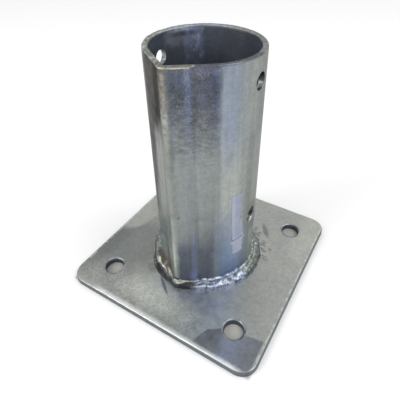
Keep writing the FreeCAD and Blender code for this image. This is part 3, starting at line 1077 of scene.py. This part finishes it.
def smooth_side_tone(shade, turn, out):
    """The weld left of the nose: grey, with a painted brown reflection of the tube, painted dark shade and
    reflection outside, and two pale crests of painted highlight.
    """
    rough_grey = shade.cloud(2.2, 66, 0.38, 0.62)
    grey = shade.mix(rough_grey, (108, 112, 110), (142, 145, 141))
    # Painted reflection of the tube: brown next to it
    brown = shade.product(shade.window(turn, -50, -14, 8), shade.smooth(out, 3.0, 4.0, 1.0, 0.0))
    tone = shade.cover(grey, (80, 74, 66), brown, 0.9)
    # Painted shade and reflection darken the weld's outer band before the nose
    inner_edge = shade.smooth(turn, -34, -12, 5.4, 1.5)
    beyond = shade.smooth(shade.math("SUBTRACT", out, inner_edge), 0.0, 0.8)
    outer = shade.product(shade.window(turn, -33, 18, 6), beyond)
    tone = shade.cover(tone, (66, 66, 68), outer, 0.9)
    # Painted highlights: a broken pale line along the crest and a fainter one along the foot
    broken = shade.cloud(3.0, 67, 0.36, 0.56, 0.35, 1.0)
    middle = shade.smooth(turn, -34, -14, 4.6, 2.9)
    half_width = shade.smooth(turn, -33, -27, 1.4, 0.35)
    aside = shade.math("ABSOLUTE", shade.math("SUBTRACT", out, middle))
    crest = shade.product(
        shade.smooth(shade.math("SUBTRACT", aside, half_width), -0.5, 0.5, 1.0, 0.0),
        shade.window(turn, -38, -15, 4),
        broken,
    )
    tone = shade.cover(tone, (214, 212, 200), crest, 0.95)
    foot = shade.product(shade.window(out, 0.1, 1.3, 0.6), shade.window(turn, -17, 20, 5), broken)
    tone = shade.cover(tone, (184, 184, 175), foot, 0.5)
    # Painted shade and reflection make the cap in front of the nose dark, with one painted highlight line
    # along it
    up = shade.warped(shade.math("SUBTRACT", shade.z, PLATE_TOP), 3.0, 0.6, 60.0)
    line = shade.product(shade.window(up, 5.8, 8.8, 0.8), broken)
    cap = shade.mix(shade.smooth(up, 0.3, 1.2, 0.8, 0.0), (64, 64, 68), (132, 134, 132))
    cap = shade.cover(cap, (190, 190, 182), line, 0.95)
    tone = shade.mix(shade.smooth(turn, -12, -5), tone, cap)
    # Painted glints: near-white dots on the beads along the outer edge of the weld's left side
    dots = shade.product(
        shade.cloud(1.5, 69, 0.52, 0.6, detail=0.0, rough=0.5),
        shade.smooth(out, 5.6, 6.8),
        shade.window(turn, -90, -52, 8),
    )
    return shade.cover(tone, (236, 237, 230), dots, 0.9)


def rough_side_tone(shade, turn, out):
    """The weld right of the nose: pale ropes with a groove darkened by painted shade, yellower at the far
    right.
    """
    gaps = shade.cloud(2.8, 63, 0.40, 0.54, detail=1.5, rough=0.5)
    pale = shade.mix(gaps, (116, 123, 138), (180, 189, 212))
    # Painted shade darkens the groove between the ropes
    groove = shade.window(out, 1.5, 3.4, 0.8)
    wandering = shade.cloud(7.0, 68, 0.40, 0.52, detail=1.0, rough=0.5)
    front = shade.cover(pale, (98, 106, 108), groove, wandering, 0.85)
    outer = shade.mix(gaps, (100, 104, 105), (126, 131, 132))
    inner = shade.mix(gaps, (116, 121, 118), (160, 166, 161))
    side = shade.mix(shade.smooth(out, 3.0, 4.4), inner, outer)
    return shade.mix(shade.smooth(turn, 66, 84), front, side)


def weld_material():
    """Galvanised weld: smooth to the left and darkened there by painted shade and reflection, bright and
    lumpy to the right.
    """
    shade = Shader("galvanised_weld_coat")
    turn = shade.warped(shade.turn, 6.0, 2.5, 61.0)
    out = shade.warped(off_wall(shade), 4.0, 0.8, 62.0)
    tone = smooth_side_tone(shade, turn, out)
    tone = shade.mix(shade.smooth(turn, 12, 24), tone, rough_side_tone(shade, turn, out))
    tone = shade.mix(shade.smooth(turn, 126, 146), tone, (124, 127, 124))
    # Beads on the plate beside the weld have the plate's own tone
    low = shade.smooth(shade.z, PLATE_TOP + 0.8, PLATE_TOP + 1.4, 1.0, 0.0)
    beside = shade.smooth(shade.turn, 90, 100)
    tone = shade.cover(tone, (148, 151, 146), low, beside, 0.7)
    tone = mottled(shade, tone, 64.0)
    left_coat = coat_roughness(shade, 0.28, 0.40)
    right_coat = coat_roughness(shade, 0.38, 0.50)
    zinc_finish(shade, tone, shade.choose(shade.smooth(turn, 16, 30), left_coat, right_coat))
    shade.add_relief(2.4, 65, 0.04, rough=0.5)
    return shade.material


def film_material():
    """Milky clear film, brighter at its left edge, with painted shade along its crease."""
    shade = Shader("clear_film")
    cloud = shade.cloud(7.0, 71, 0.35, 0.65, rough=0.5)
    tone = shade.mix(cloud, (153, 162, 183), (164, 172, 193))
    left = shade.smooth(shade.turn, 60, 64, 0.5, 0.0)
    tone = shade.mix(left, tone, (186, 190, 208))
    height = shade.warped(shade.z, 6.0, 0.8, 72.0)
    faded = shade.product(
        shade.smooth(shade.warped(shade.turn, 7.0, 3.0, 74.0), 64, 72),
        shade.smooth(height, FILM_BITE - 8, FILM_BITE + 2),
    )
    tone = shade.cover(tone, (140, 146, 152), faded, 0.6)
    foot = shade.smooth(height, FILM_CREASE - 3, FILM_CREASE - 1, 0.6, 0.0)
    tone = shade.mix(foot, tone, (182, 186, 208))
    # Painted shade along the crease
    crease = shade.window(height, FILM_CREASE - 1.0, FILM_CREASE + 0.2, 0.5)
    tone = shade.cover(tone, (104, 108, 122), crease, 0.8)
    shade.set("Base Color", tone)
    shade.set("Roughness", 0.38)
    shade.set("Alpha", 0.74)
    shade.add_relief(3.0, 73, 0.05, rough=0.5)
    return shade.material


def floor_material():
    """Pale floor with a painted shadow where the plate covers it."""
    shade = Shader("pale_floor")
    half = PLATE_HALF - 2
    # Painted shadow under the plate, which shows through the anchor holes
    below = shade.product(shade.window(shade.x, -half, half, 3), shade.window(shade.y, -half, half, 3))
    shade.set("Base Color", shade.mix(below, (240, 240, 240), (168, 167, 163)))
    shade.set("Roughness", 0.9)
    return shade.material


# The studio

def make_floor():
    side = 4000.0
    corners = [(-side, -side, 0), (side, -side, 0), (side, side, 0), (-side, side, 0)]
    floor = new_object("floor", corners, [(0, 1, 2, 3)])
    floor.data.materials.append(floor_material())


def make_lamp(name, at, size, power):
    """A square lamp in metres and watts that looks at the tube's middle."""
    data = bpy.data.lights.new(name, "AREA")
    data.shape = "SQUARE"
    data.size = size
    data.energy = power
    lamp = bpy.data.objects.new(name, data)
    lamp.location = at
    lamp.rotation_mode = "QUATERNION"
    lamp.rotation_quaternion = (Vector((0, 0, 0.08)) - Vector(at)).to_track_quat("-Z", "Y")
    bpy.context.scene.collection.objects.link(lamp)


def make_world():
    world = bpy.data.worlds.new("studio")
    world.use_nodes = True
    background = world.node_tree.nodes["Background"]
    background.inputs["Color"].default_value = (1, 1, 1, 1)
    background.inputs["Strength"].default_value = 0.93
    bpy.context.scene.world = world


def dress(piece, material, node=None):
    piece.data.materials.clear()
    piece.data.materials.append(material)
    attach(piece, "root")
    if node:
        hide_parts(node)


bpy.context.scene.view_settings.view_transform = "Standard"
make_camera()
make_floor()
make_world()
make_lamp("key", (-0.55, -0.95, 0.75), 0.5, 6.0)
make_lamp("fill", (0.8, 0.2, 1.3), 0.8, 6.0)
dress(make_plate(), plate_material(), "base_plate")
dress(make_tube(), tube_material(), "socket_tube")
dress(make_weld(), weld_material(), "weld_bead")
dress(make_film(), film_material())
